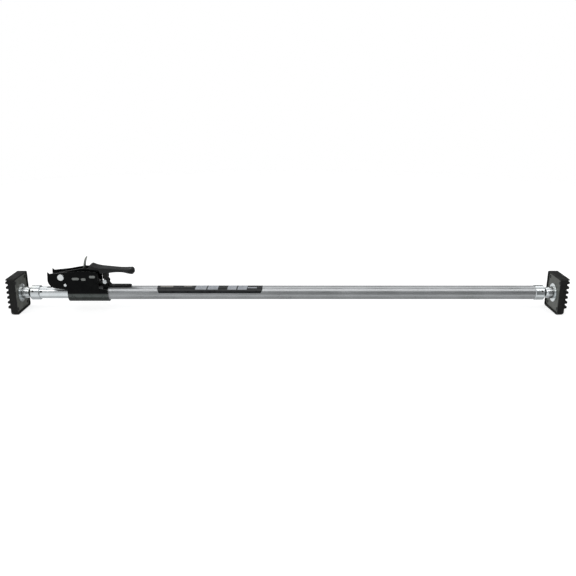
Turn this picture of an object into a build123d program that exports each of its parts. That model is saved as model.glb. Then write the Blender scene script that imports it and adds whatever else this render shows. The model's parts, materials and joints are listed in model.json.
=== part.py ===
from build123d import *
from math import cos, radians, sin
import os

# Ratcheting cargo bar: a steel tube that telescopes out of another and wedges between the
# walls of a truck bed or trailer on two swivelling rubber feet.
#
# Millimetres, +Z up. X runs along the bar with the ratchet at the -X end, and Y points away
# from the side that carries the label's fold and the cross hole, so the front faces -Y. The
# origin is on the surface that the feet stand on, under the middle of the closed bar.

# ---- driving dimensions -------------------------------------------------------------------
CLOSED_LENGTH = 1016.0  # 40 in between the feet, opening to 70 in
HALF = CLOSED_LENGTH / 2

PAD_WIDTH = 64.0  # across the bar, Y
PAD_HEIGHT = 68.0  # Z
PAD_THICK = 14.0  # with its ribs
PAD_RADIUS = 5.0  # corners of the pad, seen along the bar
AXIS_Z = PAD_HEIGHT / 2  # height of the tubes' axis over the floor

OUTER_R = 12.7  # 1 in tube
OUTER_WALL = 1.2
INNER_R = 11.1
INNER_WALL = 1.5
BORE_R = OUTER_R - OUTER_WALL
RUNNING = 0.05  # radial clearance of a running fit
GAP = 0.3  # clearance between parts that move past each other

FERRULE_END = 474.0  # outer face of each ferrule, from the bar's middle
FERRULE_LIP = 457.0  # inner edge of each ferrule
FERRULE_FLOOR = 2.5  # thickness of its end wall
TUBE_END = FERRULE_END - FERRULE_FLOOR
LEFT_FERRULE_R = 13.5
RIGHT_FERRULE_R = 13.8

# The ratchet, in X and in height over the tubes' axis.
PIVOT = (-412.5, 33.5)  # the handle's main pin
DRIVE_PIN = (-382.0, 18.0)  # drive pawl's pin, carried by the handle
HOLD_PIN = (-350.5, 18.5)  # holding pawl's pin, across the housing
LEVER_PIN = (-334.5, 23.5)  # release lever's pin
SPACER_RIVET = (-405.6, 18.9)

HOUSING_LEFT = -403.0
HOUSING_RIGHT = -330.0
HOUSING_WALL = 3.2
HOUSING_R = OUTER_R + HOUSING_WALL  # outside of the wrap, and of the side plates
PLATE_RIGHT = -345.5  # right edge of the tall side plates
WRAP_TOP = 11.0  # top of the low walls to the right of the plates

# The rack: slots along the top of the inner tube. The drive pawl's tooth stands in one of
# them and the holding pawl's tooth in another, three pitches along.
RACK_PITCH = 12.7
RACK_SLOT = 9.5
RACK_SLOT_WIDTH = 8.0
RACK_FIRST = -406.4 - 3 * RACK_PITCH  # left wall of the first slot
RACK_SLOTS = 67
TOOTH_DEPTH_Z = 8.2  # height of a tooth's tip, 2.9 mm into the slot
WINDOW_WIDTH = 9.0

PAWL_THICK = 6.0
ARM_INNER = 8.7  # inner face of each handle arm, from the middle plane
ARM_THICK = 2.5
EAR_INNER = 7.3
EAR_THICK = 2.5
SMALL_PIN_R = 2.5
PIVOT_PIN_R = 4.0
SPACER_R = 3.75  # sleeves on the small pins

BALL_X = 484.5
BALL_R = 8.5
CUP_WALL = 2.15
CUP_FLANGE_R = 17.0
NECK_R = 3.5
MOUTH_HALF_ANGLE = 50.0

# ---- working planes and small helpers --------------------------------------------------------
TUBE_AXIS = Axis((0, 0, AXIS_Z), (1, 0, 0))
SIDE = Plane(origin=(0, 0, AXIS_Z), x_dir=(1, 0, 0), z_dir=(0, -1, 0))  # sketches in X, height


def section(x):
    """A plane across the bar at x, sketched in Y and height over the axis, facing +X."""
    return Plane(origin=(x, 0, AXIS_Z), x_dir=(0, 1, 0), z_dir=(1, 0, 0))


def outward(side):
    """A side-view plane whose first axis points out of the bar's end: side is -1 or +1."""
    return Plane(origin=(0, 0, AXIS_Z), x_dir=(side, 0, 0), z_dir=(0, -side, 0))


def side_plane(y):
    """The side-view plane moved to y, so that an extrusion runs from there towards -Y."""
    return SIDE.offset(-y)


def radial_plane(x, angle):
    """A plane on the tubes' axis at x, facing out of the front side, angle degrees upwards."""
    direction = (0, -cos(radians(angle)), sin(radians(angle)))
    return Plane(origin=(x, 0, AXIS_Z), x_dir=(1, 0, 0), z_dir=direction)


def turned(radius, y_from, y_to, at, bore=0.0):
    """Add a round length across the bar, centred on a pin's place, with an optional bore."""
    with BuildSketch(side_plane(y_to)) as ring:
        with Locations(at):
            Circle(radius)
            if bore:
                Circle(bore, mode=Mode.SUBTRACT)
    extrude(ring.sketch, amount=y_to - y_from)


def headed_pin(at, shank_r, half_length, head_r, head_thick):
    """Add a pin across the bar with a domed head at each end."""
    turned(shank_r, -half_length, half_length, at)
    for sign in (-1, 1):
        inner_y = sign * half_length
        outer_y = sign * (half_length + head_thick)
        turned(head_r, min(inner_y, outer_y), max(inner_y, outer_y), at)
        rim = edges().filter_by(GeomType.CIRCLE).group_by(Axis.Y)[0 if sign < 0 else -1]
        fillet(rim, head_thick * 0.45)


def holes_across(at, radius):
    """Cut a round hole right across the bar at a pin's place."""
    with BuildSketch(side_plane(0)) as hole:
        with Locations(at):
            Circle(radius)
    extrude(hole.sketch, amount=2 * HOUSING_R, both=True, mode=Mode.SUBTRACT)


# ---- tubes -------------------------------------------------------------------------------------
PIN_ANGLE = 25.0  # ferrule pins and the tube's cross hole, up from the front
PIN_X = 468.5
FERRULE_PIN_R = 2.0
TUBE_HOLE_X = -454.0
OUTER_LEFT = -396.0
MOUTH_SLOT_RIGHT = -386.0
HOLD_WINDOW = (-369.5, -357.0)
INNER_RIGHT = 446.0
RIVET_X = (-393.0, -338.0)  # housing to tube rivets, each side
RIVET_DOWN_ANGLE = -18.0
RIVET_R = 2.0


def top_windows(spans, width):
    """Cut windows down through the top wall of a tube."""
    with BuildSketch(Plane.XY.offset(AXIS_Z)) as windows:
        for left, right in spans:
            with Locations(((left + right) / 2, 0)):
                Rectangle(right - left, width)
    extrude(windows.sketch, amount=2 * OUTER_R, mode=Mode.SUBTRACT)


def wall_hole(x, angle, radius, opposite=False):
    """Cut a round hole out through one wall of a tube."""
    angles = (angle, angle + 180) if opposite else (angle,)
    for one in angles:
        with BuildSketch(radial_plane(x, one)) as hole:
            Circle(radius)
        extrude(hole.sketch, amount=2 * HOUSING_R, mode=Mode.SUBTRACT)


def rivet_angles():
    """Angles of the housing rivets on the front and on the back of the wrap."""
    return (RIVET_DOWN_ANGLE, 180 - RIVET_DOWN_ANGLE)


with BuildPart() as outer_tube:
    with BuildSketch(section(OUTER_LEFT)):
        Circle(OUTER_R)
        Circle(BORE_R, mode=Mode.SUBTRACT)
    extrude(amount=TUBE_END - OUTER_LEFT)
    top_windows([(OUTER_LEFT - 1, MOUTH_SLOT_RIGHT), HOLD_WINDOW], WINDOW_WIDTH)
    wall_hole(PIN_X, PIN_ANGLE, FERRULE_PIN_R, opposite=True)
    for rivet_x in RIVET_X:
        for rivet_angle in rivet_angles():
            wall_hole(rivet_x, rivet_angle, RIVET_R)

with BuildPart() as inner_tube:
    with BuildSketch(section(-TUBE_END)):
        Circle(INNER_R)
        Circle(INNER_R - INNER_WALL, mode=Mode.SUBTRACT)
    extrude(amount=INNER_RIGHT + TUBE_END)
    rack_middle = RACK_FIRST + RACK_SLOT / 2 + RACK_PITCH * (RACK_SLOTS - 1) / 2
    with BuildSketch(Plane.XY.offset(AXIS_Z)):
        with Locations((rack_middle, 0)):
            with GridLocations(RACK_PITCH, 1, RACK_SLOTS, 1):
                RectangleRounded(RACK_SLOT, RACK_SLOT_WIDTH, 1.0)
    extrude(amount=2 * INNER_R, mode=Mode.SUBTRACT)
    wall_hole(-PIN_X, PIN_ANGLE, FERRULE_PIN_R, opposite=True)
    wall_hole(TUBE_HOLE_X, PIN_ANGLE, FERRULE_PIN_R)

with BuildPart() as tube_bushing:  # nylon ring that guides the inner tube in the mouth
    with BuildSketch(section(HOUSING_LEFT)):
        Circle(OUTER_R)
        Circle(INNER_R + RUNNING, mode=Mode.SUBTRACT)
    extrude(amount=OUTER_LEFT - HOUSING_LEFT)
    top_windows([(HOUSING_LEFT - 1, OUTER_LEFT + 1)], WINDOW_WIDTH)

PLUG_FLANGE = 3.0
PLUG_SPIGOT = 12.0
with BuildPart() as inner_tube_plug:  # closes the hidden end and rides in the outer tube
    with BuildSketch(section(INNER_RIGHT)):
        Circle(BORE_R - RUNNING)
    extrude(amount=PLUG_FLANGE)
    fillet(edges().filter_by(GeomType.CIRCLE).sort_by(Axis.X)[-1], 1.0)
    with BuildSketch(section(INNER_RIGHT)):
        Circle(INNER_R - INNER_WALL)
    extrude(amount=-PLUG_SPIGOT)
    with BuildSketch(section(INNER_RIGHT - PLUG_SPIGOT)):
        Circle(INNER_R - INNER_WALL - 2.0)
    extrude(amount=PLUG_SPIGOT, mode=Mode.SUBTRACT)

LABEL_LEFT = -240.0
LABEL_RIGHT = -46.0
LABEL_THICK = 0.2
LABEL_HALF_ANGLE = 79.0
with BuildPart() as tube_label:  # plain decal wrapped over the top of the outer tube
    label_middle = (LABEL_LEFT + LABEL_RIGHT) / 2
    with BuildSketch(section(LABEL_LEFT)):
        Circle(OUTER_R + LABEL_THICK)
        Circle(OUTER_R, mode=Mode.SUBTRACT)
        cut = OUTER_R * cos(radians(LABEL_HALF_ANGLE))
        with Locations((0, cut - OUTER_R)):
            Rectangle(3 * OUTER_R, 2 * OUTER_R, mode=Mode.SUBTRACT)
    extrude(amount=LABEL_RIGHT - LABEL_LEFT)
    # Rounded corners, cut to the decal's outline as seen from above.
    with BuildSketch(Plane.XY.offset(AXIS_Z)):
        with Locations((label_middle, 0)):
            RectangleRounded(LABEL_RIGHT - LABEL_LEFT, 2 * OUTER_R, 5.0)
    extrude(amount=2 * OUTER_R, mode=Mode.INTERSECT)


# ---- ratchet housing ---------------------------------------------------------------------------
RIB_HEIGHT = 0.8
with BuildPart() as ratchet_housing:
    # The wrap: one U round the tube.
    with BuildSketch(section(HOUSING_LEFT)):
        Circle(HOUSING_R)
        with Locations((0, WRAP_TOP / 2)):
            Rectangle(2 * HOUSING_R, WRAP_TOP)
        with Locations((0, WRAP_TOP + HOUSING_R)):
            Rectangle(2 * HOUSING_R, 2 * HOUSING_R, mode=Mode.SUBTRACT)
        Circle(OUTER_R, mode=Mode.SUBTRACT)
        with Locations((0, HOUSING_R)):
            Rectangle(2 * OUTER_R, 2 * HOUSING_R, mode=Mode.SUBTRACT)
    extrude(amount=HOUSING_RIGHT - HOUSING_LEFT)
    # The two side plates, with a horn at the nose and a rounded chin over the inner tube.
    for plate_y in (HOUSING_R, -OUTER_R):
        with BuildSketch(side_plane(plate_y)):
            with BuildLine():
                chin = ThreePointArc((-437.4, 27.0), (-433.2, 17.6), (-424.0, 12.4))
                belly = Line(chin @ 1, (HOUSING_LEFT, WRAP_TOP - 1.0))
                left_side = Line(belly @ 1, (HOUSING_LEFT, 0))
                foot = Line(left_side @ 1, (PLATE_RIGHT, 0))
                right_side = Line(foot @ 1, (PLATE_RIGHT, 36.0))
                corner = ThreePointArc(right_side @ 1, (-347.5, 41.2), (-352.5, 43.6))
                top = Spline(corner @ 1, (-372.0, 44.8), (-398.0, 43.4), (-425.0, 40.6))
                horn_back = Line(top @ 1, (-433.5, 39.6))
                horn = Line(horn_back @ 1, (-436.6, 42.4))
                Line(horn @ 1, chin @ 0)
            make_face()
        extrude(amount=HOUSING_WALL)
    # Stamped ribs on the outside of both plates.
    for rib_x, rib_z, rib_length in ((-386.0, 30.7, 13.0), (-371.8, 29.7, 8.5), (-355.5, 34.4, 11.0)):
        for rib_y in (HOUSING_R + RIB_HEIGHT, -HOUSING_R):
            with BuildSketch(side_plane(rib_y)):
                with Locations((rib_x, rib_z)):
                    SlotOverall(rib_length, 4.6)
            extrude(amount=RIB_HEIGHT)
    holes_across(PIVOT, PIVOT_PIN_R)
    holes_across(HOLD_PIN, SMALL_PIN_R)
    holes_across(SPACER_RIVET, 2.0)
    for rivet_x in RIVET_X:
        for rivet_angle in rivet_angles():
            wall_hole(rivet_x, rivet_angle, RIVET_R)

with BuildPart() as housing_rivets:  # four, through the wrap into the outer tube's wall
    for rivet_x in RIVET_X:
        for rivet_angle in rivet_angles():
            plane = radial_plane(rivet_x, rivet_angle)
            with BuildSketch(plane.offset(BORE_R + 0.1)):
                Circle(RIVET_R)
            extrude(amount=HOUSING_R - BORE_R)
            with BuildSketch(plane.offset(HOUSING_R - 0.1)):
                Circle(RIVET_R + 1.4)
            extrude(amount=1.3, taper=25)
    add(ratchet_housing.part, mode=Mode.SUBTRACT)

PLATE_HALF = HOUSING_R

with BuildPart() as spacer_rivet:
    headed_pin(SPACER_RIVET, 2.0, PLATE_HALF, 2.75, 1.2)

with BuildPart() as main_pivot_pin:
    headed_pin(PIVOT, PIVOT_PIN_R, PLATE_HALF, 6.0, 2.2)

with BuildPart() as pivot_sleeve:  # keeps the handle's arms apart on the main pin
    turned(5.6, -ARM_INNER, ARM_INNER, PIVOT, bore=PIVOT_PIN_R + RUNNING)

with BuildPart() as pivot_washers:  # one each side, between an arm and its plate
    for washer_y in (-OUTER_R, ARM_INNER + ARM_THICK + GAP):
        thick = OUTER_R - ARM_INNER - ARM_THICK - GAP
        turned(8.0, washer_y, washer_y + thick, PIVOT, bore=PIVOT_PIN_R + RUNNING)

with BuildPart() as holding_pawl_pin:
    headed_pin(HOLD_PIN, SMALL_PIN_R, PLATE_HALF, 3.5, 1.2)

with BuildPart() as holding_pawl_spacers:
    near = PAWL_THICK / 2 + GAP
    for spacer_y in (-OUTER_R, near):
        turned(SPACER_R, spacer_y, spacer_y + OUTER_R - near, HOLD_PIN, bore=SMALL_PIN_R)


# ---- handle --------------------------------------------------------------------------------------
ARM_OUTER = ARM_INNER + ARM_THICK
WEB_LEFT = -361.5
TONGUE_RIGHT = -296.0
TONGUE_HALF = 7.5
GRIP_HALF = 12.2
STOP_X = (-338.6, -330.6)
STOP_BOTTOM = LEVER_PIN[1] + 5.0
GRIP_RIVETS = (-326.0, -304.0)
GRIP_RIVET_R = 2.0

with BuildPart() as handle_arms:
    # Two arms cut to one profile: hub at the main pin, boss at the pawl's pin, neck to the grip.
    for arm_y in (ARM_OUTER, -ARM_INNER):
        with BuildSketch(side_plane(arm_y)):
            with BuildLine():
                under_hub = ThreePointArc((-412.5, 42.2), (-421.0, 33.5), (-412.5, 25.0))
                lower = Line(under_hub @ 1, (-386.5, 14.2))
                boss = ThreePointArc(lower @ 1, (-380.4, 13.3), (-377.2, 17.0))
                throat = Spline(boss @ 1, (-371.5, 32.0), (-360.0, 43.0), (-345.2, 45.6))
                end = Line(throat @ 1, (-345.2, 48.1))
                shoulder = Line(end @ 1, (-374.0, 49.2))
                Line(shoulder @ 1, under_hub @ 0)
            make_face()
        extrude(amount=ARM_THICK)
    # The web that joins the arms, and the tongue that runs on into the grip.
    with BuildSketch(Plane.XY.offset(AXIS_Z + 45.6)):
        with BuildLine():
            Polyline(
                (WEB_LEFT, -ARM_OUTER),
                (-347.0, -ARM_OUTER),
                (-341.0, -TONGUE_HALF),
                (TONGUE_RIGHT, -TONGUE_HALF),
                (TONGUE_RIGHT, TONGUE_HALF),
                (-341.0, TONGUE_HALF),
                (-347.0, ARM_OUTER),
                (WEB_LEFT, ARM_OUTER),
                close=True,
            )
        make_face()
    extrude(amount=-2.5)
    holes_across(PIVOT, PIVOT_PIN_R + RUNNING)
    holes_across(DRIVE_PIN, SMALL_PIN_R)
    with Locations(*((rivet_x, 0, AXIS_Z + 40.0) for rivet_x in GRIP_RIVETS)):
        Cylinder(
            GRIP_RIVET_R, 10.0, align=(Align.CENTER, Align.CENTER, Align.MIN), mode=Mode.SUBTRACT
        )

with BuildPart() as handle_grip:  # black plastic, moulded over the tongue
    with BuildSketch(SIDE):
        with BuildLine():
            front = Line((-363.0, 49.5), (-362.6, 52.0))
            hump = ThreePointArc(front @ 1, (-360.2, 54.6), (-356.0, 54.2))
            back = Spline(hump @ 1, (-345.0, 50.9), (-326.0, 49.0), (-306.0, 47.4), (-289.0, 47.2))
            end = ThreePointArc(back @ 1, (-280.6, 42.2), (-285.0, 36.6))
            palm = Spline(end @ 1, (-293.0, 39.2), (-306.0, 40.9), (-322.0, 40.2), (-340.0, 38.2))
            heel = Line(palm @ 1, (-344.0, 38.2))
            step = Line(heel @ 1, (-344.6, 44.6))
            chin = Line(step @ 1, (-363.0, 44.6))
            Line(chin @ 1, front @ 0)
        make_face()
    extrude(amount=GRIP_HALF, both=True)
    # The outline from above: wide at the hump, waisted, with a rounded end.
    with BuildSketch(Plane.XY.offset(AXIS_Z)):
        with BuildLine():
            nose = Line((-363.0, -11.4), (-363.0, 11.4))
            far = Spline(nose @ 1, (-352.0, 12.1), (-322.0, 10.4), (-292.0, 11.4))
            tip = ThreePointArc(far @ 1, (-280.6, 0), (-292.0, -11.4))
            Spline(tip @ 1, (-322.0, -10.4), (-352.0, -12.1), nose @ 0)
        make_face()
    extrude(amount=3 * AXIS_Z, mode=Mode.INTERSECT)
    fillet(edges(), 3.0)
    add(handle_arms.part, mode=Mode.SUBTRACT)
    # Two rivets hold it to the tongue, and the stop's stem goes up into it.
    with Locations(*((rivet_x, 0, AXIS_Z + 30.0) for rivet_x in GRIP_RIVETS)):
        Cylinder(
            GRIP_RIVET_R, 30.0, align=(Align.CENTER, Align.CENTER, Align.MIN), mode=Mode.SUBTRACT
        )

with BuildPart() as grip_rivets:  # two, down through the grip and the tongue
    for rivet_x, grip_top, grip_bottom in ((GRIP_RIVETS[0], 48.9, 40.4), (GRIP_RIVETS[1], 47.3, 40.9)):
        with Locations((rivet_x, 0, AXIS_Z + (grip_top + grip_bottom) / 2)):
            Cylinder(GRIP_RIVET_R, grip_top - grip_bottom)

with BuildPart() as handle_stop:  # rubber block that lands on the release lever's bracket
    stop_middle = (STOP_X[0] + STOP_X[1]) / 2
    with BuildSketch(Plane.XY.offset(AXIS_Z + STOP_BOTTOM)):
        with Locations((stop_middle, 0)):
            RectangleRounded(STOP_X[1] - STOP_X[0], 18.0, 2.0)
    extrude(amount=14.0)
    fillet(faces().sort_by(Axis.Z)[0].edges(), 0.8)
    add(handle_grip.part, mode=Mode.SUBTRACT)
    split(bisect_by=Plane.XY.offset(AXIS_Z + 40.0), keep=Keep.BOTTOM)

with BuildPart() as drive_pawl_pin:
    turned(SMALL_PIN_R, -ARM_OUTER - 0.6, ARM_OUTER + 0.6, DRIVE_PIN)
    chamfer(edges().filter_by(GeomType.CIRCLE), 0.4)

with BuildPart() as drive_pawl_spacers:
    near = PAWL_THICK / 2 + GAP
    for spacer_y in (-ARM_INNER, near):
        turned(SPACER_R, spacer_y, spacer_y + ARM_INNER - near, DRIVE_PIN, bore=SMALL_PIN_R)


# ---- pawls and their springs -----------------------------------------------------------------------
DRIVE_TOOTH_X = -405.0  # left, working face of each tooth
HOLD_TOOTH_X = -365.3
TAIL_TOP = 18.2  # holding pawl's tail, where the release lever presses
TAIL_END = -339.9
TAB_ROOT = 44.0
TAB_THICK = 1.6
TAB_RIVET_X = -376.2
TAB_RIVET_R = 1.5
SPRING_R = 4.9
SPRING_WIRE_R = 0.45
SPRING_PITCH = 1.15
SPRING_TURNS = 3
PAWL_BOSS_R = 4.6

with BuildPart() as drive_pawl:
    with BuildSketch(SIDE):
        with BuildLine():
            Polyline(
                (DRIVE_TOOTH_X, 12.8),
                (DRIVE_TOOTH_X, TOOTH_DEPTH_Z),
                (DRIVE_TOOTH_X + 1.7, TOOTH_DEPTH_Z),
                (-399.9, 12.2),
                (-396.0, 13.7),
                (-383.0, 13.5),
                (-377.6, 17.0),
                (-369.6, TAB_ROOT),
                (-377.6, TAB_ROOT),
                (-385.0, 24.0),
                (-388.5, 20.0),
                (-398.5, 16.6),
                close=True,
            )
        make_face()
        with Locations(DRIVE_PIN):
            Circle(PAWL_BOSS_R)
    extrude(amount=PAWL_THICK / 2, both=True)
    holes_across(DRIVE_PIN, SMALL_PIN_R + RUNNING)
    with Locations((TAB_RIVET_X, 0, AXIS_Z + TAB_ROOT)):
        Cylinder(TAB_RIVET_R, 6.0, mode=Mode.SUBTRACT)

with BuildPart() as thumb_tab:  # bent strip on top of the drive pawl
    with BuildSketch(SIDE):
        with BuildLine():
            foot = Line((-377.6, TAB_ROOT + TAB_THICK / 2), (-373.8, TAB_ROOT + TAB_THICK / 2))
            bend = ThreePointArc(foot @ 1, (-372.5, 45.4), (-371.9, 46.9))
            ThreePointArc(bend @ 1, (-370.9, 58.0), (-367.2, 68.2))
        trace(line_width=TAB_THICK)
    extrude(amount=5.5, both=True)
    fillet(edges().filter_by(lambda e: e.center().Z > AXIS_Z + 67 and e.length < 2), 2.0)
    with Locations((TAB_RIVET_X, 0, AXIS_Z + TAB_ROOT)):
        Cylinder(TAB_RIVET_R, 10.0, mode=Mode.SUBTRACT)

with BuildPart() as tab_rivet:
    with Locations((TAB_RIVET_X, 0, AXIS_Z + TAB_ROOT - 3.0)):
        Cylinder(TAB_RIVET_R, 3.0 + TAB_THICK, align=(Align.CENTER, Align.CENTER, Align.MIN))
    with Locations((TAB_RIVET_X, 0, AXIS_Z + TAB_ROOT + TAB_THICK)):
        Cylinder(2.1, 1.0, align=(Align.CENTER, Align.CENTER, Align.MIN))
    fillet(edges().filter_by(GeomType.CIRCLE).sort_by(Axis.Z)[-1], 0.6)

with BuildPart() as holding_pawl:
    with BuildSketch(SIDE):
        with BuildLine():
            Polyline(
                (HOLD_TOOTH_X, 12.6),
                (HOLD_TOOTH_X, TOOTH_DEPTH_Z),
                (HOLD_TOOTH_X + 1.6, TOOTH_DEPTH_Z),
                (-360.4, 12.0),
                (-357.5, 13.4),
                (-349.0, 14.2),
                (-345.6, 15.9),
                (TAIL_END, 15.9),
                (TAIL_END, TAIL_TOP),
                (-346.5, TAIL_TOP),
                (-347.5, 22.0),
                (-353.5, 22.0),
                (-359.0, 17.5),
                close=True,
            )
        make_face()
        with Locations(HOLD_PIN):
            Circle(PAWL_BOSS_R)
    extrude(amount=PAWL_THICK / 2, both=True)
    holes_across(HOLD_PIN, SMALL_PIN_R + RUNNING)


def torsion_spring(at, y_start, leg_down, leg_up):
    """A three-turn torsion spring round a pin.

    Each end runs on as a straight leg along the coil's tangent there; leg_down and leg_up are
    the lengths of the first leg and of the last.
    """
    x, height = at
    axis = Plane(origin=(x, y_start, AXIS_Z + height), x_dir=(0, 0, 1), z_dir=(0, 1, 0))
    coil = Helix(SPRING_PITCH, SPRING_TURNS * SPRING_PITCH, SPRING_R).located(axis.location)
    with BuildPart() as spring:
        with BuildSketch(Plane(origin=coil @ 0, z_dir=coil % 0)) as wire:
            Circle(SPRING_WIRE_R)
        sweep(wire.sketch, path=coil, is_frenet=True)
        for end, tangent, length in ((coil @ 0, coil % 0, -leg_down), (coil @ 1, coil % 1, leg_up)):
            with BuildSketch(Plane(origin=end, z_dir=tangent)) as leg:
                Circle(SPRING_WIRE_R)
            extrude(leg.sketch, amount=length)
    return spring


drive_pawl_spring = torsion_spring(DRIVE_PIN, 4.0, 9.0, 8.0)
holding_pawl_spring = torsion_spring(HOLD_PIN, 4.0, 8.0, 7.0)


# ---- release lever -----------------------------------------------------------------------------------
STRAP_RIGHT = -288.0
STRAP_BOTTOM = 13.4
STRAP_THICK = 2.0
STRAP_HALF = 6.0
SADDLE_X = (-339.2, -329.4)
SADDLE_THICK = 1.8
LEVER_EYE_R = 4.2

with BuildPart() as lever_bracket:  # saddle on the outer tube, with two ears for the lever's pin
    with BuildSketch(section(SADDLE_X[0])):
        Circle(OUTER_R + SADDLE_THICK)
        for sign in (-1, 1):
            with Locations((sign * (EAR_INNER + EAR_THICK / 2), OUTER_R)):
                Rectangle(EAR_THICK, 2 * OUTER_R)
        Circle(OUTER_R, mode=Mode.SUBTRACT)
        for sign in (-1, 1):
            outside = EAR_INNER + EAR_THICK + OUTER_R
            with Locations((sign * outside, 0)):
                Rectangle(2 * OUTER_R, 6 * OUTER_R, mode=Mode.SUBTRACT)
        with Locations((0, -OUTER_R)):
            Rectangle(4 * OUTER_R, 2 * OUTER_R, mode=Mode.SUBTRACT)
    extrude(amount=SADDLE_X[1] - SADDLE_X[0])
    # The ears are round on top, about the pin.
    with BuildSketch(SIDE):
        with BuildLine():
            ear_r = (SADDLE_X[1] - SADDLE_X[0]) / 2 - 0.5
            rise = Line((SADDLE_X[0], 0), (LEVER_PIN[0] - ear_r, LEVER_PIN[1] - 3.0))
            ear_top = (LEVER_PIN[0], LEVER_PIN[1] + ear_r)
            ear_side = (LEVER_PIN[0] + ear_r, LEVER_PIN[1] - 3.0)
            crown = ThreePointArc(rise @ 1, ear_top, ear_side)
            fall = Line(crown @ 1, (SADDLE_X[1], 0))
            Line(fall @ 1, rise @ 0)
        make_face()
    extrude(amount=2 * OUTER_R, both=True, mode=Mode.INTERSECT)
    holes_across(LEVER_PIN, SMALL_PIN_R)

with BuildPart() as lever_pin:
    headed_pin(LEVER_PIN, SMALL_PIN_R, EAR_INNER + EAR_THICK, 3.9, 1.8)

with BuildPart() as release_lever:
    # The strap, and its neck up to the eye.
    with BuildSketch(SIDE):
        with BuildLine():
            Polyline(
                (-333.5, 17.5),
                (-327.2, STRAP_BOTTOM),
                (STRAP_RIGHT, STRAP_BOTTOM),
                (STRAP_RIGHT, STRAP_BOTTOM + STRAP_THICK),
                (-325.6, STRAP_BOTTOM + STRAP_THICK),
                (-331.4, 22.0),
                close=True,
            )
        make_face()
    extrude(amount=STRAP_HALF, both=True)
    with BuildSketch(SIDE):
        with Locations(LEVER_PIN):
            Circle(LEVER_EYE_R)
    extrude(amount=EAR_INNER - GAP, both=True)
    # The finger that presses on the holding pawl's tail.
    with BuildSketch(SIDE):
        with BuildLine():
            Polyline(
                (-336.0, 26.0),
                (-342.4, 20.2),
                (-342.4, TAIL_TOP + GAP),
                (-339.0, TAIL_TOP + GAP),
                (-333.5, 20.0),
                close=True,
            )
        make_face()
    extrude(amount=PAWL_THICK / 2, both=True)
    fillet(edges().filter_by(Axis.Z).group_by(Axis.X)[-1], STRAP_HALF - 0.5)
    holes_across(LEVER_PIN, SMALL_PIN_R + RUNNING)


# ---- feet ---------------------------------------------------------------------------------------------
PLATE_THICK = 2.0
PLATE_FACE = HALF - PAD_THICK  # inner face of the steel plate
PAD_RIM = 3.0  # rubber round the plate's edge
PAD_LIP = 2.0  # how far the rim stands proud of the plate, on the bar's side
PAD_TOE = 6.0  # radius of the block's bottom outer edge
RIB_DEPTH = 4.0
RIB_PITCH = 9.25
RIB_TIP = 3.6
RIB_ROOT = 5.4
RIB_ROOTED = 1.0  # how far each rib's profile reaches into the block
RIB_HEIGHTS = [RIB_PITCH * i for i in range(-2, 4)] + [PAD_HEIGHT / 2]  # none near the bottom
FLANGE_THICK = 1.8  # the cup's flange
CUP_RIVET_RING = 14.3
CUP_RIVET_HEAD = 2.2
PAD_RIVETS = (45.0, 49.0)  # spacing of the corner rivets in Y and Z
PAD_RIVET_HEAD = 3.0
RIVET_SMALL = 1.6
RIVET_LENGTH = 5.0
RIVET_HEAD_THICK = 0.9


def ferrule(side, radius, bore):
    """Zinc cap on a tube's end, with a hole in its end wall for the ball stud."""
    with BuildPart() as cap:
        with BuildSketch(outward(side)):
            with BuildLine():
                Polyline(
                    (FERRULE_LIP, bore),
                    (TUBE_END, bore),
                    (TUBE_END, NECK_R + RUNNING),
                    (FERRULE_END, NECK_R + RUNNING),
                    (FERRULE_END, radius - 1.5),
                    (FERRULE_END - 1.5, radius),
                    (FERRULE_LIP + 0.8, radius),
                    (FERRULE_LIP, radius - 0.8),
                    close=True,
                )
            make_face()
        revolve(axis=TUBE_AXIS)
        wall_hole(side * PIN_X, PIN_ANGLE, FERRULE_PIN_R, opposite=True)
    return cap


def ferrule_pins(side, radius, inner):
    """Two short roll pins through a ferrule and the tube in it, one each side."""
    with BuildPart() as pins:
        for angle in (PIN_ANGLE, PIN_ANGLE + 180):
            with BuildSketch(radial_plane(side * PIN_X, angle).offset(inner)) as ring:
                Circle(FERRULE_PIN_R)
                Circle(FERRULE_PIN_R - 0.7, mode=Mode.SUBTRACT)
            extrude(ring.sketch, amount=radius - inner)
    return pins


def ball_stud(side):
    """Ball on a neck that turns in the ferrule's end wall, with a head inside to hold it."""
    head_r = 7.0
    head_inner = TUBE_END - GAP - 3.0
    ball_meets_neck = BALL_X - (BALL_R**2 - NECK_R**2) ** 0.5
    with BuildPart() as stud:
        with BuildSketch(outward(side)):
            with BuildLine():
                Polyline(
                    (BALL_X + BALL_R, 0),
                    (head_inner, 0),
                    (head_inner, head_r),
                    (TUBE_END - GAP, head_r),
                    (TUBE_END - GAP, NECK_R),
                    (ball_meets_neck, NECK_R),
                )
                ThreePointArc((ball_meets_neck, NECK_R), (BALL_X, BALL_R), (BALL_X + BALL_R, 0))
            make_face()
        revolve(axis=TUBE_AXIS)
    return stud


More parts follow.
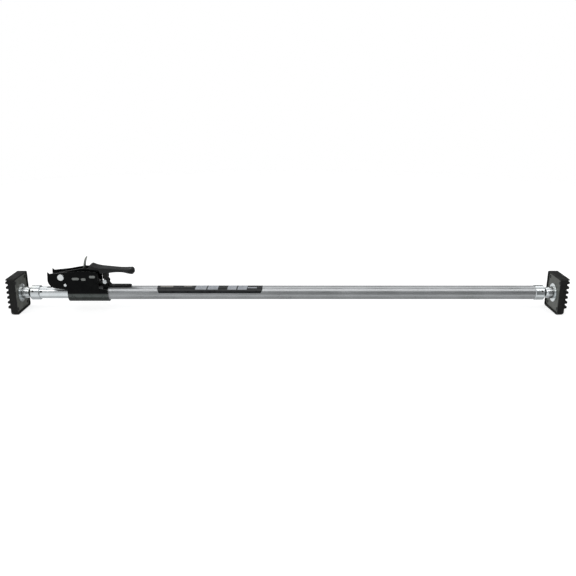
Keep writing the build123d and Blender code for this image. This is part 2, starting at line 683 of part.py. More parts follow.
def socket_cup(side):
    """Pressed cup round the ball, with a flange on the foot's plate."""
    inner = BALL_R + RUNNING
    outer = inner + CUP_WALL
    mouth = radians(180 - MOUTH_HALF_ANGLE)
    mid = radians(110)
    skirt_x = PLATE_FACE - FLANGE_THICK

    def on_ball(radius, angle):
        return (BALL_X + radius * cos(angle), radius * sin(angle))

    with BuildPart() as cup:
        with BuildSketch(outward(side)):
            with BuildLine():
                outside = ThreePointArc(
                    on_ball(outer, mouth), on_ball(outer, mid), (BALL_X, outer)
                )
                skirt = Line(outside @ 1, (skirt_x, outer + 0.8))
                flange = Line(skirt @ 1, (skirt_x, CUP_FLANGE_R))
                rim = Line(flange @ 1, (PLATE_FACE, CUP_FLANGE_R))
                back = Line(rim @ 1, (PLATE_FACE, inner))
                straight = Line(back @ 1, (BALL_X, inner))
                inside = ThreePointArc(straight @ 1, on_ball(inner, mid), on_ball(inner, mouth))
                Line(inside @ 1, outside @ 0)
            make_face()
        revolve(axis=TUBE_AXIS)
        with BuildSketch(section(side * PLATE_FACE)) as holes:
            with PolarLocations(CUP_RIVET_RING, 4, start_angle=45):
                Circle(RIVET_SMALL)
        extrude(holes.sketch, amount=2 * FLANGE_THICK, both=True, mode=Mode.SUBTRACT)
    return cup


def foot_plate(side):
    """Steel plate that the cup is riveted to, let into the back of the pad."""
    with BuildPart() as plate:
        with BuildSketch(section(side * PLATE_FACE)) as outline:
            RectangleRounded(PAD_WIDTH - 2 * PAD_RIM, PAD_HEIGHT - 2 * PAD_RIM, PAD_RADIUS - PAD_RIM)
            with PolarLocations(CUP_RIVET_RING, 4, start_angle=45):
                Circle(RIVET_SMALL, mode=Mode.SUBTRACT)
            with GridLocations(*PAD_RIVETS, 2, 2):
                Circle(RIVET_SMALL, mode=Mode.SUBTRACT)
        extrude(outline.sketch, amount=side * PLATE_THICK)
    return plate


def foot_pad(side):
    """Rubber pad: a block with level ribs across its working face and the plate let in behind."""
    base_face = HALF - RIB_DEPTH
    lip_face = PLATE_FACE - PAD_LIP
    top = PAD_HEIGHT / 2
    with BuildPart() as pad:
        # The side view, carried right across, then cut to the outline seen along the bar.
        with BuildSketch(outward(side)) as profile:
            with BuildLine():
                sole = Line((lip_face, -top), (base_face - PAD_TOE, -top))
                toe = CenterArc((base_face - PAD_TOE, PAD_TOE - top), PAD_TOE, -90, 90)
                face = Line(toe @ 1, (base_face, top + 1.0))
                over = Line(face @ 1, (lip_face, top + 1.0))
                Line(over @ 1, sole @ 0)
            make_face()
            with Locations(*((base_face, height) for height in RIB_HEIGHTS)):
                Polygon(
                    (-RIB_ROOTED, -RIB_ROOT / 2),
                    (0, -RIB_ROOT / 2),
                    (RIB_DEPTH, -RIB_TIP / 2),
                    (RIB_DEPTH, RIB_TIP / 2),
                    (0, RIB_ROOT / 2),
                    (-RIB_ROOTED, RIB_ROOT / 2),
                    align=None,
                )
        extrude(profile.sketch, amount=PAD_WIDTH, both=True)
        with BuildSketch(section(side * (lip_face - PAD_LIP))) as outline:
            RectangleRounded(PAD_WIDTH, PAD_HEIGHT, PAD_RADIUS)
        extrude(outline.sketch, amount=side * 2 * PAD_THICK, mode=Mode.INTERSECT)
        # The plate's recess, and the rivets' holes.
        with BuildSketch(section(side * lip_face)) as recess:
            RectangleRounded(PAD_WIDTH - 2 * PAD_RIM, PAD_HEIGHT - 2 * PAD_RIM, PAD_RADIUS - PAD_RIM)
        extrude(recess.sketch, amount=side * (PAD_LIP + PLATE_THICK), mode=Mode.SUBTRACT)
        with BuildSketch(section(side * PLATE_FACE)) as holes:
            with GridLocations(*PAD_RIVETS, 2, 2):
                Circle(RIVET_SMALL)
            with PolarLocations(CUP_RIVET_RING, 4, start_angle=45):
                Circle(RIVET_SMALL)
        extrude(holes.sketch, amount=side * (PLATE_THICK + 4.0), mode=Mode.SUBTRACT)
    return pad


def flat_rivets(side, places, head_from, head_r):
    """Rivets along X: a head on the inner side and a shank that runs outwards."""
    with BuildPart() as rivets:
        for y, height in places:
            with BuildSketch(section(side * head_from)) as shank:
                with Locations((y, height)):
                    Circle(RIVET_SMALL)
            extrude(shank.sketch, amount=side * RIVET_LENGTH)
            with BuildSketch(section(side * head_from)) as head:
                with Locations((y, height)):
                    Circle(head_r)
            extrude(head.sketch, amount=-side * RIVET_HEAD_THICK, taper=30)
    return rivets


def corners(width, height):
    """The four corners of a rectangle about the origin."""
    return [(y * width / 2, z * height / 2) for y in (-1, 1) for z in (-1, 1)]


ring_step = 2 * CUP_RIVET_RING * cos(radians(45))
pieces = {
    "outer_tube": outer_tube,
    "inner_tube": inner_tube,
    "tube_bushing": tube_bushing,
    "inner_tube_plug": inner_tube_plug,
    "tube_label": tube_label,
    "ratchet_housing": ratchet_housing,
    "housing_rivets": housing_rivets,
    "spacer_rivet": spacer_rivet,
    "main_pivot_pin": main_pivot_pin,
    "pivot_sleeve": pivot_sleeve,
    "pivot_washers": pivot_washers,
    "holding_pawl": holding_pawl,
    "holding_pawl_pin": holding_pawl_pin,
    "holding_pawl_spacers": holding_pawl_spacers,
    "holding_pawl_spring": holding_pawl_spring,
    "lever_bracket": lever_bracket,
    "lever_pin": lever_pin,
    "release_lever": release_lever,
    "handle_arms": handle_arms,
    "handle_grip": handle_grip,
    "grip_rivets": grip_rivets,
    "handle_stop": handle_stop,
    "drive_pawl": drive_pawl,
    "drive_pawl_pin": drive_pawl_pin,
    "drive_pawl_spacers": drive_pawl_spacers,
    "drive_pawl_spring": drive_pawl_spring,
    "thumb_tab": thumb_tab,
    "tab_rivet": tab_rivet,
    "left_ferrule": ferrule(-1, LEFT_FERRULE_R, INNER_R),
    "right_ferrule": ferrule(1, RIGHT_FERRULE_R, OUTER_R),
    "left_ferrule_pins": ferrule_pins(-1, LEFT_FERRULE_R, INNER_R - INNER_WALL),
    "right_ferrule_pins": ferrule_pins(1, RIGHT_FERRULE_R, OUTER_R - OUTER_WALL),
}
for side, end_name in ((-1, "left"), (1, "right")):
    pieces[f"{end_name}_ball_stud"] = ball_stud(side)
    pieces[f"{end_name}_socket_cup"] = socket_cup(side)
    pieces[f"{end_name}_foot_plate"] = foot_plate(side)
    pieces[f"{end_name}_foot_pad"] = foot_pad(side)
    pieces[f"{end_name}_cup_rivets"] = flat_rivets(
        side, corners(ring_step, ring_step), PLATE_FACE - FLANGE_THICK, CUP_RIVET_HEAD
    )
    pieces[f"{end_name}_pad_rivets"] = flat_rivets(
        side, corners(*PAD_RIVETS), PLATE_FACE, PAD_RIVET_HEAD
    )

os.makedirs("parts", exist_ok=True)
for piece_name, piece in pieces.items():
    piece.part.label = piece_name
    export_step(piece.part, f"parts/{piece_name}.step")
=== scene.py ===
"""Bed cargo bar: looks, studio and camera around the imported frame.

Everything is in metres in the row frame: X along the bar, Z up, and the bar's axis at the height of
the feet's middle. Each CAD node is carried over as a cleaned mesh with rounded edges, and each
material is a node recipe.
"""

import json
from math import cos, radians, sin

import bmesh
import bpy
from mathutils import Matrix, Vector

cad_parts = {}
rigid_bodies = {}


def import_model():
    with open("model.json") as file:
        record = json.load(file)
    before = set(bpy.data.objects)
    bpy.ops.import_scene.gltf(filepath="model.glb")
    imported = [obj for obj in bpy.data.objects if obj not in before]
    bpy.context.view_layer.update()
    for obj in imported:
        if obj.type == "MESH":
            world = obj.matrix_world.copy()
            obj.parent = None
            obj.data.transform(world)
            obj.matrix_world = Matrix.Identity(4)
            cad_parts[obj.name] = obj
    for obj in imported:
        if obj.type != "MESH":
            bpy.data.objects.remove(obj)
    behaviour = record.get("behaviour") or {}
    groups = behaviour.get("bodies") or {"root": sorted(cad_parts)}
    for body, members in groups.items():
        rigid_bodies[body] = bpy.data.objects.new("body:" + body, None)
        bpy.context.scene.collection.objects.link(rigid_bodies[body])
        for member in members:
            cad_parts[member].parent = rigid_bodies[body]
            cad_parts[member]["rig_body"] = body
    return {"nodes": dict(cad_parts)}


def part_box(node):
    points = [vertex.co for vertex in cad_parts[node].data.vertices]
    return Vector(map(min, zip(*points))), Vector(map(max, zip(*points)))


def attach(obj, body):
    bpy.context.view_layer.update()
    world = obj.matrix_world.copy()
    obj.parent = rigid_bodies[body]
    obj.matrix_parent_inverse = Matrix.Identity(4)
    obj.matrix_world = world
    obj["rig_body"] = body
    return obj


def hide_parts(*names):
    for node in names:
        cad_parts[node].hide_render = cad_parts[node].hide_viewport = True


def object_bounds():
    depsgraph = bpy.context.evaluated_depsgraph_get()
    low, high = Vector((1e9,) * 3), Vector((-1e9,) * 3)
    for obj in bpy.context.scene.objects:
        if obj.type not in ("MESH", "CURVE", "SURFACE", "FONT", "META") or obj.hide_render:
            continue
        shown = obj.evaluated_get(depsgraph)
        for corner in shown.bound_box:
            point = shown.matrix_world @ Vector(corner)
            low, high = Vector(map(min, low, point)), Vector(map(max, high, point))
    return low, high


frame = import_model()
cad_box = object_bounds()
nodes = frame["nodes"]

MM = 0.001
AXIS_Z = (cad_box[0].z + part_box("left_foot_pad")[1].z) / 2
TUBE_AXIS = Vector((0, 0, AXIS_Z))


# ---------------------------------------------------------------- camera, floor and light

CAMERA_DISTANCE = 1.241
CAMERA_ELEVATION = radians(17.5)
CAMERA_LENS = 41.77  # mm, on a 36 mm sensor
SENSOR_WIDTH = 36
LENS_SHIFT = (0.00087, 0.00764)  # as parts of the picture's width: the bar sits a little low


def add_camera():
    data = bpy.data.cameras.new("camera")
    data.sensor_width = SENSOR_WIDTH
    data.lens = CAMERA_LENS
    data.shift_x, data.shift_y = LENS_SHIFT
    data.clip_start = 0.01
    camera = bpy.data.objects.new("camera", data)
    back = Vector((0, -cos(CAMERA_ELEVATION), sin(CAMERA_ELEVATION)))
    camera.location = TUBE_AXIS + back * CAMERA_DISTANCE
    camera.rotation_mode = "QUATERNION"
    camera.rotation_quaternion = (-back).to_track_quat("-Z", "Y")
    bpy.context.scene.collection.objects.link(camera)
    bpy.context.scene.camera = camera


# name, direction from the bar's middle, distance, width and height, power in watts
SOFTBOXES = (
    ("key_softbox", (0, -0.52, 0.85), 1.7, (3.6, 0.7), 16),
    ("top_softbox", (0, 0.45, 0.9), 2.4, (4.0, 1.6), 20),
)


def add_softbox(name, direction, distance, size, power):
    data = bpy.data.lights.new(name, "AREA")
    data.shape = "RECTANGLE"
    data.size, data.size_y = size
    data.energy = power
    light = bpy.data.objects.new(name, data)
    towards = Vector(direction).normalized()
    light.location = TUBE_AXIS + towards * distance
    light.rotation_mode = "QUATERNION"
    light.rotation_quaternion = towards.to_track_quat("Z", "Y")
    light.visible_camera = False
    bpy.context.scene.collection.objects.link(light)


# how bright the room is by the height of the direction: -1 straight down, 0 level, 1 straight up
ROOM_LEVELS = (
    (-1.0, 0.45), (-0.78, 0.50), (-0.66, 0.95), (-0.46, 0.95), (-0.34, 0.24),
    (0.45, 0.20), (0.62, 0.30), (1.0, 0.55),
)
# the same at the bar's ratchet end, where a white card stands low in front
CARD_LEVELS = (
    (-1.0, 0.50), (-0.78, 0.65), (-0.66, 1.0), (0.0, 1.0), (0.14, 0.70),
    (0.36, 0.65), (0.44, 0.25), (0.56, 0.45), (1.0, 0.55),
)
CARD_EDGE = (-0.22, -0.28)  # the direction's X where the card begins, and where it is full
ROOM_TINT = (0.97, 0.99, 1.0)


def add_ramp(tree, height, levels):
    """A colour ramp over the direction's height, through the levels given."""
    ramp = tree.nodes.new("ShaderNodeValToRGB")
    tree.links.new(height, ramp.inputs[0])
    stops = ramp.color_ramp.elements
    stops.remove(stops[1])
    for i, (up, level) in enumerate(levels):
        position = (up + 1) / 2
        stop = stops[0] if i == 0 else stops.new(position)
        stop.position = position
        stop.color = (*(level * part for part in ROOM_TINT), 1)
    return ramp.outputs[0]


def add_room():
    """The world: white to the camera, and to everything else a room with a dark level zone."""
    world = bpy.data.worlds.new("studio")
    bpy.context.scene.world = world
    world.use_nodes = True
    tree = world.node_tree
    tree.nodes.clear()
    place = tree.nodes.new("ShaderNodeTexCoord")
    split = tree.nodes.new("ShaderNodeSeparateXYZ")
    tree.links.new(place.outputs["Generated"], split.inputs[0])
    height = tree.nodes.new("ShaderNodeMapRange")
    tree.links.new(split.outputs["Z"], height.inputs["Value"])
    height.inputs["From Min"].default_value = -1.0
    across = tree.nodes.new("ShaderNodeMapRange")
    tree.links.new(split.outputs["X"], across.inputs["Value"])
    across.inputs["From Min"].default_value, across.inputs["From Max"].default_value = CARD_EDGE
    walls = tree.nodes.new("ShaderNodeMix")
    walls.data_type = "RGBA"
    tree.links.new(across.outputs[0], walls.inputs[0])
    tree.links.new(add_ramp(tree, height.outputs[0], ROOM_LEVELS), walls.inputs[6])
    tree.links.new(add_ramp(tree, height.outputs[0], CARD_LEVELS), walls.inputs[7])
    room = tree.nodes.new("ShaderNodeBackground")
    tree.links.new(walls.outputs[2], room.inputs["Color"])
    room.inputs["Strength"].default_value = 1.0
    backdrop = tree.nodes.new("ShaderNodeBackground")
    backdrop.inputs["Color"].default_value = (1, 1, 1, 1)
    seen = tree.nodes.new("ShaderNodeLightPath")
    mix = tree.nodes.new("ShaderNodeMixShader")
    tree.links.new(seen.outputs["Is Camera Ray"], mix.inputs[0])
    tree.links.new(room.outputs[0], mix.inputs[1])
    tree.links.new(backdrop.outputs[0], mix.inputs[2])
    out = tree.nodes.new("ShaderNodeOutputWorld")
    tree.links.new(mix.outputs[0], out.inputs[0])


FLOOR_FADE = (0.9, 2.2)  # how far out the paper begins to thin out, and where it is gone
FLOOR_GREY = 0.50
FLOOR_GLOW = 0.72  # lit from below, as on a light table, so that shadows stay faint


def add_floor():
    """A sheet of pale paper, which glossy surfaces do not reflect."""
    floor_mesh = bpy.data.meshes.new("floor")
    half = FLOOR_FADE[1] * 1.1
    corners = [(-half, -half, 0), (half, -half, 0), (half, half, 0), (-half, half, 0)]
    floor_mesh.from_pydata(corners, [], [(0, 1, 2, 3)])
    floor = bpy.data.objects.new("floor", floor_mesh)
    bpy.context.scene.collection.objects.link(floor)
    paper = bpy.data.materials.new("floor_paper")
    paper.use_nodes = True
    shader = paper.node_tree.nodes["Principled BSDF"]
    shader.inputs["Base Color"].default_value = (FLOOR_GREY, FLOOR_GREY, FLOOR_GREY, 1)
    shader.inputs["Roughness"].default_value = 0.9
    shader.inputs["Specular IOR Level"].default_value = 0.1
    shader.inputs["Emission Color"].default_value = (1, 1, 1, 1)
    shader.inputs["Emission Strength"].default_value = FLOOR_GLOW
    place = paper.node_tree.nodes.new("ShaderNodeTexCoord")
    far = paper.node_tree.nodes.new("ShaderNodeVectorMath")
    far.operation = "LENGTH"
    paper.node_tree.links.new(place.outputs["Object"], far.inputs[0])
    fade = paper.node_tree.nodes.new("ShaderNodeMapRange")
    paper.node_tree.links.new(far.outputs["Value"], fade.inputs["Value"])
    fade.interpolation_type = "SMOOTHSTEP"
    ends = {"From Min": FLOOR_FADE[0], "From Max": FLOOR_FADE[1], "To Min": 1.0, "To Max": 0.0}
    for key, value in ends.items():
        fade.inputs[key].default_value = value
    paper.node_tree.links.new(fade.outputs[0], shader.inputs["Alpha"])
    floor_mesh.materials.append(paper)
    floor.visible_glossy = False


# ---------------------------------------------------------------- material recipes

# how far the rounded normal agrees with the true one on a flat face, and at a full edge
EDGE_AGREEMENT = (0.985, 0.90)


class Recipe:
    """A node material: helpers that add nodes and put values or links on their sockets."""

    def __init__(self, name):
        self.material = bpy.data.materials.new("look_" + name)
        self.material.use_nodes = True
        self.tree = self.material.node_tree
        self.shader = self.tree.nodes["Principled BSDF"]
        self.place = self.add("ShaderNodeTexCoord").outputs["Object"]

    def add(self, kind, inputs=None, **settings):
        new = self.tree.nodes.new(kind)
        for key, value in settings.items():
            setattr(new, key, value)
        for key, value in (inputs or {}).items():
            self.put(new.inputs[key], value)
        return new

    def put(self, socket, value):
        if isinstance(value, bpy.types.NodeSocket):
            self.tree.links.new(value, socket)
        else:
            socket.default_value = value

    def set(self, **values):
        for key, value in values.items():
            self.put(self.shader.inputs[key.replace("_", " ")], value)

    def math(self, operation, a, b=0.0):
        return self.add("ShaderNodeMath", {0: a, 1: b}, operation=operation).outputs[0]

    def noise(self, grain, detail=3.0, stretch=(1, 1, 1)):
        """Fractal noise whose cells are about grain millimetres across."""
        moved = self.add("ShaderNodeMapping", {"Vector": self.place, "Scale": stretch})
        wanted = {"Vector": moved.outputs[0], "Scale": 1 / (grain * MM), "Detail": detail}
        return self.add("ShaderNodeTexNoise", wanted).outputs["Fac"]

    def cells(self, grain, stretch=(1, 1, 1)):
        """The distance to the nearest of scattered points, about grain millimetres apart."""
        moved = self.add("ShaderNodeMapping", {"Vector": self.place, "Scale": stretch})
        wanted = {"Vector": moved.outputs[0], "Scale": 1 / (grain * MM)}
        return self.add("ShaderNodeTexVoronoi", wanted, feature="SMOOTH_F1").outputs["Distance"]

    def span(self, value, low, high, to_low=0.0, to_high=1.0):
        """value, taken from low to high, mapped to run from to_low to to_high and held there."""
        ends = {"From Min": low, "From Max": high, "To Min": to_low, "To Max": to_high}
        return self.add("ShaderNodeMapRange", {"Value": value, **ends}).outputs[0]

    def blend(self, amount, a, b):
        mix = self.add("ShaderNodeMix", data_type="RGBA")
        self.put(mix.inputs[0], amount)
        self.put(mix.inputs[6], a)
        self.put(mix.inputs[7], b)
        return mix.outputs[2]

    def bump(self, height, depth, strength=1.0, under=None):
        """depth is the height's full scale in millimetres."""
        wanted = {"Height": height, "Distance": depth * MM, "Strength": strength}
        if under is not None:
            wanted["Normal"] = under
        return self.add("ShaderNodeBump", wanted).outputs[0]

    def edges(self, radius):
        """1 along convex and concave edges, 0 on flat and gently curved faces."""
        soft = self.add("ShaderNodeBevel", {"Radius": radius * MM}, samples=4).outputs[0]
        hard = self.add("ShaderNodeNewGeometry").outputs["Normal"]
        same = self.add("ShaderNodeVectorMath", {0: soft, 1: hard}, operation="DOT_PRODUCT")
        return self.span(same.outputs["Value"], *EDGE_AGREEMENT)

    def worn_edges(self, radius, grain, detail, patchy, most=1.0):
        """The edges, broken into patches of about grain millimetres."""
        patches = self.span(self.noise(grain, detail), *patchy, 0, most)
        return self.math("MULTIPLY", self.edges(radius), patches)


def rgb(r, g, b):
    return (r, g, b, 1)


def grey_tube():
    """Grey metallic hammered coat: tiny dimples, faint clouding and drawn lines along the bar."""
    r = Recipe("grey_tube")
    dimple = r.cells(1.5, (0.8, 1, 1))
    cloud = r.noise(22, 4, (0.35, 1, 1))
    drawn = r.noise(0.7, 2, (0.04, 1, 1))
    speck = r.noise(0.9, 2)
    tone = r.math("ADD", r.math("MULTIPLY", cloud, 0.55), r.math("MULTIPLY", speck, 0.45))
    colour = r.blend(r.span(tone, 0.35, 0.65), rgb(0.34, 0.35, 0.355), rgb(0.50, 0.51, 0.52))
    pits = r.math("MULTIPLY", r.span(dimple, 0.0, 0.55, 1.0, 0.0), 0.5)
    colour = r.blend(pits, colour, rgb(0.24, 0.245, 0.25))
    colour = r.blend(r.worn_edges(0.5, 3, 3.0, (0.4, 0.6)), colour, rgb(0.55, 0.55, 0.54))
    r.set(Base_Color=colour, Metallic=0.78, Roughness=r.span(cloud, 0.3, 0.7, 0.27, 0.40))
    r.set(Normal=r.bump(drawn, 0.05, 0.5, r.bump(dimple, 0.16, 0.7)))
    return r.material


def zinc(name, base, spread, rough, stretch=(0.05, 1, 1)):
    """Zinc plate: silvery, with faint clouding, a trace of straw passivation and fine drawn lines.

    base is the plate's colour, spread how much darker its clouds are, and rough its roughness.
    """
    r = Recipe(name)
    cloud = r.noise(14, 4)
    tint = r.noise(30, 2)
    lines = r.noise(0.5, 2, stretch)
    dark = tuple(c * (1 - spread) for c in base)
    colour = r.blend(r.span(cloud, 0.3, 0.7), rgb(*dark), rgb(*base))
    straw = r.math("MULTIPLY", r.span(tint, 0.52, 0.75), 0.35)
    colour = r.blend(straw, colour, rgb(base[0], base[1] * 0.96, base[2] * 0.84))
    grime = r.worn_edges(0.5, 2.5, 3.0, (0.42, 0.62), 0.5)
    colour = r.blend(grime, colour, rgb(0.28, 0.28, 0.27))
    r.set(Base_Color=colour, Metallic=1.0)
    wavy = r.math("ADD", r.math("MULTIPLY", cloud, 0.6), r.math("MULTIPLY", lines, 0.4))
    r.set(Roughness=r.span(wavy, 0.3, 0.7, rough * 0.8, rough * 1.3))
    r.set(Normal=r.bump(lines, 0.02, 0.5, r.bump(cloud, 0.05, 0.4)))
    return r.material


# painted sheen and rubbed ribs on the housing's black coat, in millimetres over the bar's axis: a
# lighter, more metallic band painted along the wrap stands in for a reflection
SHEEN_TOP = (3.0, 0.5)  # the wrap's painted sheen band fades in
SHEEN_BOTTOM = (-3.0, -6.5)  # and out
SHEEN_BELOW = 0.42  # the share of it that is left below the band
SHEEN_METAL = 0.85  # how metallic the full painted sheen is
CROWN_OUT = (16.2, 16.6)  # the stamped ribs' crowns, out from the middle plane
CROWN_UP = (24.0, 25.0)  # and over the pins' heads
# painted sheen: the wrap band's two colours, far lighter than the black coat
SHEEN_COLOURS = (rgb(0.075, 0.083, 0.079), rgb(0.100, 0.110, 0.105))
RUBBED = (rgb(0.10, 0.105, 0.10), rgb(0.24, 0.25, 0.24))


def sheen_and_rubbed_ribs(r, colour, cloud):
    """Paint a sheen band along the wrap, lighter and more metallic at a fixed height, standing in
    for a reflection, and rub the stamped ribs; gives the colour and the metal.
    """

    def fade(value, ends, low, high):
        return r.span(value, ends[0] * MM, ends[1] * MM, low, high)

    split = r.add("ShaderNodeSeparateXYZ", {0: r.place})
    height = r.math("SUBTRACT", split.outputs["Z"], AXIS_Z)
    # painted sheen: a band at a fixed height, lighter and more metallic
    upper = fade(height, SHEEN_TOP, 0.0, 1.0)
    lower = fade(height, SHEEN_BOTTOM, 1.0, SHEEN_BELOW)
    sheen_band = r.math("MULTIPLY", upper, lower)
    colour = r.blend(sheen_band, colour, r.blend(r.span(cloud, 0.3, 0.7), *SHEEN_COLOURS))
    out = r.math("ABSOLUTE", split.outputs["Y"])
    crown = r.math("MULTIPLY", fade(out, CROWN_OUT, 0.0, 1.0), fade(height, CROWN_UP, 0.0, 1.0))
    colour = r.blend(crown, colour, r.blend(cloud, *RUBBED))
    return colour, r.math("MULTIPLY", sheen_band, SHEEN_METAL)


def coat(
    name, tones, rough, grain, depth, worn, wear=0.6, metallic=0.0, specular=0.5, sheen_and_rubs=False
):
    """A coated or moulded dark surface, with peel or pebble, clouding, and worn or dusty edges.

    tones are the clouds' two colours, grain and depth the peel's size in millimetres, worn and wear
    the edges' colour and its strength. The last flag paints a sheen band along the housing's wrap,
    standing in for a reflection, and rubs the crowns of its ribs.
    """
    r = Recipe(name)
    peel = r.noise(grain, 2)
    cloud = r.noise(12, 4)
    colour = r.blend(r.span(cloud, 0.3, 0.72), rgb(*tones[0]), rgb(*tones[1]))
    colour = r.blend(r.worn_edges(0.45, 2.2, 4, (0.45, 0.62), wear), colour, rgb(*worn))
    scuff = r.noise(0.6, 3, (0.15, 1, 1))
    if sheen_and_rubs:
        # the housing gets the painted sheen band on its wrap and the rubbed rib crowns
        colour, metallic = sheen_and_rubbed_ribs(r, colour, cloud)
    r.set(Base_Color=colour, Metallic=metallic)
    r.shader.inputs["Specular IOR Level"].default_value = specular
    mixed = r.math("ADD", r.math("MULTIPLY", cloud, 0.7), r.math("MULTIPLY", scuff, 0.3))
    r.set(Roughness=r.span(mixed, 0.3, 0.7, rough * 0.82, rough * 1.22))
    r.set(Normal=r.bump(peel, depth, 0.8))
    return r.material


def rubber():
    r = Recipe("rubber")
    pebble = r.noise(0.8, 3)
    cloud = r.noise(9, 5)
    colour = r.blend(r.span(cloud, 0.3, 0.7), rgb(0.0035, 0.0035, 0.0032), rgb(0.011, 0.011, 0.010))
    dust = r.worn_edges(0.9, 3, 4, (0.44, 0.64), 0.4)
    colour = r.blend(dust, colour, rgb(0.050, 0.050, 0.046))
    r.set(Base_Color=colour, Roughness=r.span(cloud, 0.3, 0.7, 0.5, 0.75))
    r.shader.inputs["Specular IOR Level"].default_value = 0.22
    r.set(Normal=r.bump(pebble, 0.12, 0.7))
    return r.material


def nylon():
    r = Recipe("nylon")
    cloud = r.noise(6, 3)
    colour = r.blend(r.span(cloud, 0.3, 0.7), rgb(0.60, 0.59, 0.55), rgb(0.74, 0.73, 0.69))
    r.set(Base_Color=colour, Roughness=r.span(cloud, 0.3, 0.7, 0.35, 0.5))
    r.set(Normal=r.bump(r.noise(0.7, 2), 0.03, 0.5))
    return r.material


# the print's plain blocks: from and to along the label (0 to 1), from and to round it (radians from
# the top, negative behind the bar), and how far a block leans
PALE_BLOCKS = (
    (0.37, 0.475, -0.62, 0.84, 0.012),
    (0.487, 0.585, -0.62, 0.84, 0.012),
    (0.675, 0.76, -0.62, 0.86, 0.012),
    (0.772, 0.86, -0.4, 0.86, 0.012),
    (0.86, 0.945, 0.40, 0.62, 0.0),
)
FAINT_BLOCKS = (
    (0.03, 0.15, -0.6, 0.40, 0.0),
    (0.25, 0.33, -0.6, 0.28, 0.0),
)
INK_BLEED = (0.002, 0.02)  # how soft a block's sides are, along the label and round it


def decal():
    """A dark printed band with plain pale blocks, and no lettering."""
    r = Recipe("decal")
    low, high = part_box("tube_label")
    split = r.add("ShaderNodeSeparateXYZ", {0: r.place})
    along = r.math("SUBTRACT", split.outputs["X"], low.x)
    along = r.math("DIVIDE", along, high.x - low.x)
    up = r.math("SUBTRACT", split.outputs["Z"], AXIS_Z)
    front = r.math("MULTIPLY", split.outputs["Y"], -1.0)
    angle = r.math("ARCTAN2", front, up)

    def within(value, start, end, soft):
        rise = r.span(value, start - soft, start + soft)
        fall = r.span(value, end - soft, end + soft, 1.0, 0.0)
        return r.math("MULTIPLY", rise, fall)

    def block(start, end, bottom, top, lean):
        slanted = r.math("ADD", along, r.math("MULTIPLY", angle, lean))
        across = within(slanted, start, end, INK_BLEED[0])
        return r.math("MULTIPLY", across, within(angle, bottom, top, INK_BLEED[1]))

    def all_of(blocks):
        total = 0.0
        for values in blocks:
            total = r.math("MAXIMUM", total, block(*values))
        return total

    bright = all_of(PALE_BLOCKS)
    faint = all_of(FAINT_BLOCKS)
    worn = r.span(r.noise(1.2, 4), 0.30, 0.42)
    ink = r.noise(8, 3)
    dark = r.blend(r.span(ink, 0.3, 0.7), rgb(0.0035, 0.004, 0.005), rgb(0.009, 0.010, 0.012))
    pale = r.blend(r.span(ink, 0.3, 0.7), rgb(0.30, 0.32, 0.35), rgb(0.40, 0.42, 0.45))
    colour = r.blend(r.math("MULTIPLY", bright, worn), dark, pale)
    colour = r.blend(r.math("MULTIPLY", faint, 0.55), colour, rgb(0.36, 0.34, 0.31))
    r.set(Base_Color=colour, Roughness=r.span(ink, 0.3, 0.7, 0.26, 0.38))
    r.shader.inputs["Specular IOR Level"].default_value = 0.35
    r.set(Normal=r.bump(r.noise(1.0, 2), 0.02, 0.5))
    return r.material


EVEN = (1, 1, 1)  # no drawn direction: the fine lines become a fine grain
LOOKS = {
    "grey_tube": grey_tube(),
    "zinc": zinc("zinc", (0.82, 0.85, 0.86), 0.14, 0.22),
    "zinc_bright": zinc("zinc_bright", (0.74, 0.77, 0.78), 0.16, 0.22, EVEN),
    "black_steel": coat(
        "black_steel",
        tones=((0.0018, 0.0020, 0.0022), (0.0042, 0.0046, 0.0046)),
        rough=0.27, grain=1.1, depth=0.04,
        # the pale worn edges here are partly edge wear and partly a painted highlight along the
        # housing's edges
        worn=(0.20, 0.21, 0.20), wear=0.7, specular=0.06, sheen_and_rubs=True,
    ),
    # painted shade in part: the feet's ball studs take this dark coat, standing in for the shade in
    # the cups' mouths
    "black_oxide": coat(
        "black_oxide",
        tones=((0.006, 0.006, 0.006), (0.016, 0.0155, 0.0145)),
        rough=0.38, grain=0.8, depth=0.03,
        worn=(0.14, 0.135, 0.13), wear=0.5, metallic=0.4, specular=0.3,
    ),
    "grip_plastic": coat(
        "grip_plastic",
        tones=((0.0060, 0.0064, 0.0066), (0.0105, 0.0110, 0.0110)),
        rough=0.40, grain=0.7, depth=0.05,
        worn=(0.035, 0.036, 0.035), wear=0.4, specular=0.28,
    ),
    "rubber": rubber(),
    "plate_paint": coat(
        "plate_paint",
        tones=((0.050, 0.053, 0.041), (0.105, 0.108, 0.099)),
        rough=0.40, grain=1.4, depth=0.06,
        worn=(0.26, 0.26, 0.25), specular=0.3,
    ),
    "spring_steel": zinc("spring_steel", (0.42, 0.42, 0.41), 0.25, 0.30, EVEN),
    "tab_steel": zinc("tab_steel", (0.40, 0.42, 0.39), 0.25, 0.38, EVEN),
    "nylon": nylon(),
    "decal": decal(),
}


# ---------------------------------------------------------------- the CAD nodes, with rounded edges

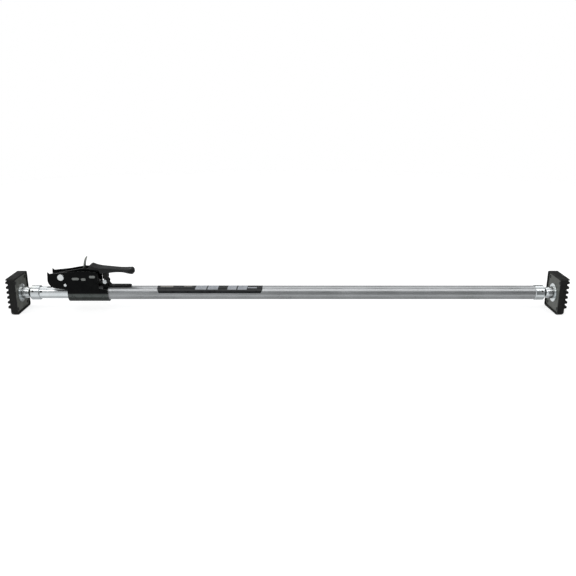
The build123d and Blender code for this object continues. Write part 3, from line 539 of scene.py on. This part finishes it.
# bevel width in millimetres, and segments; the nodes left out keep their edges
ROUNDING = {
    "ratchet_housing": (0.35, 2),
    "handle_arms": (0.35, 2),
    "drive_pawl": (0.3, 2),
    "holding_pawl": (0.3, 2),
    "release_lever": (0.3, 2),
    "lever_bracket": (0.3, 2),
    "thumb_tab": (0.2, 2),
    "inner_tube": (0.15, 1),
    "outer_tube": (0.2, 2),
    "tube_bushing": (0.3, 2),
    "inner_tube_plug": (0.3, 2),
    "main_pivot_pin": (0.2, 2),
    "handle_stop": (0.4, 2),
    "left_ferrule": (0.3, 2),
    "right_ferrule": (0.3, 2),
    "left_foot_plate": (0.35, 2),
    "right_foot_plate": (0.35, 2),
    "left_foot_pad": (0.7, 3),
    "right_foot_pad": (0.7, 3),
}
WELD = 0.004 * MM
FLAT = radians(0.35)  # faces that meet at less are one flat face
SHARP = radians(28)  # edges over this are rounded
CREASE = SHARP * 1.8  # edges still over this after the rounding are shaded sharp


def folded(edge, angle):
    return len(edge.link_faces) == 2 and edge.calc_face_angle() > angle


def cleaned(name):
    """A copy of the CAD node's mesh: seams welded, flat faces whole and sharp edges rounded."""
    source = nodes[name]
    work = bmesh.new()
    work.from_mesh(source.data)
    bmesh.ops.remove_doubles(work, verts=work.verts[:], dist=WELD)
    bmesh.ops.dissolve_degenerate(work, dist=WELD, edges=work.edges[:])
    bmesh.ops.dissolve_limit(work, angle_limit=FLAT, verts=work.verts[:], edges=work.edges[:])
    width, segments = ROUNDING.get(name, (0, 0))
    if width:
        bmesh.ops.bevel(
            work,
            geom=[edge for edge in work.edges if folded(edge, SHARP)],
            offset=width * MM,
            offset_type="OFFSET",
            segments=segments,
            profile=0.5,
            affect="EDGES",
            clamp_overlap=True,
            loop_slide=True,
        )
    for face in work.faces:
        face.smooth = True
    for edge in work.edges:
        edge.smooth = not folded(edge, CREASE)
    mesh = bpy.data.meshes.new("look_" + name)
    work.to_mesh(mesh)
    work.free()
    if "custom_normal" in mesh.attributes:
        mesh.attributes.remove(mesh.attributes["custom_normal"])
    piece = bpy.data.objects.new("look_" + name, mesh)
    bpy.context.scene.collection.objects.link(piece)
    normals = piece.modifiers.new("even_normals", "WEIGHTED_NORMAL")
    normals.keep_sharp = True
    return piece


def dress():
    for name, source in nodes.items():
        slot = source.data.materials[0].name
        piece = cleaned(name)
        piece.data.materials.clear()
        piece.data.materials.append(LOOKS[slot])
        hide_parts(name)
        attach(piece, source["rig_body"])


add_camera()
add_room()
for softbox in SOFTBOXES:
    add_softbox(*softbox)
add_floor()
dress()

bpy.context.scene.view_settings.view_transform = "Standard"
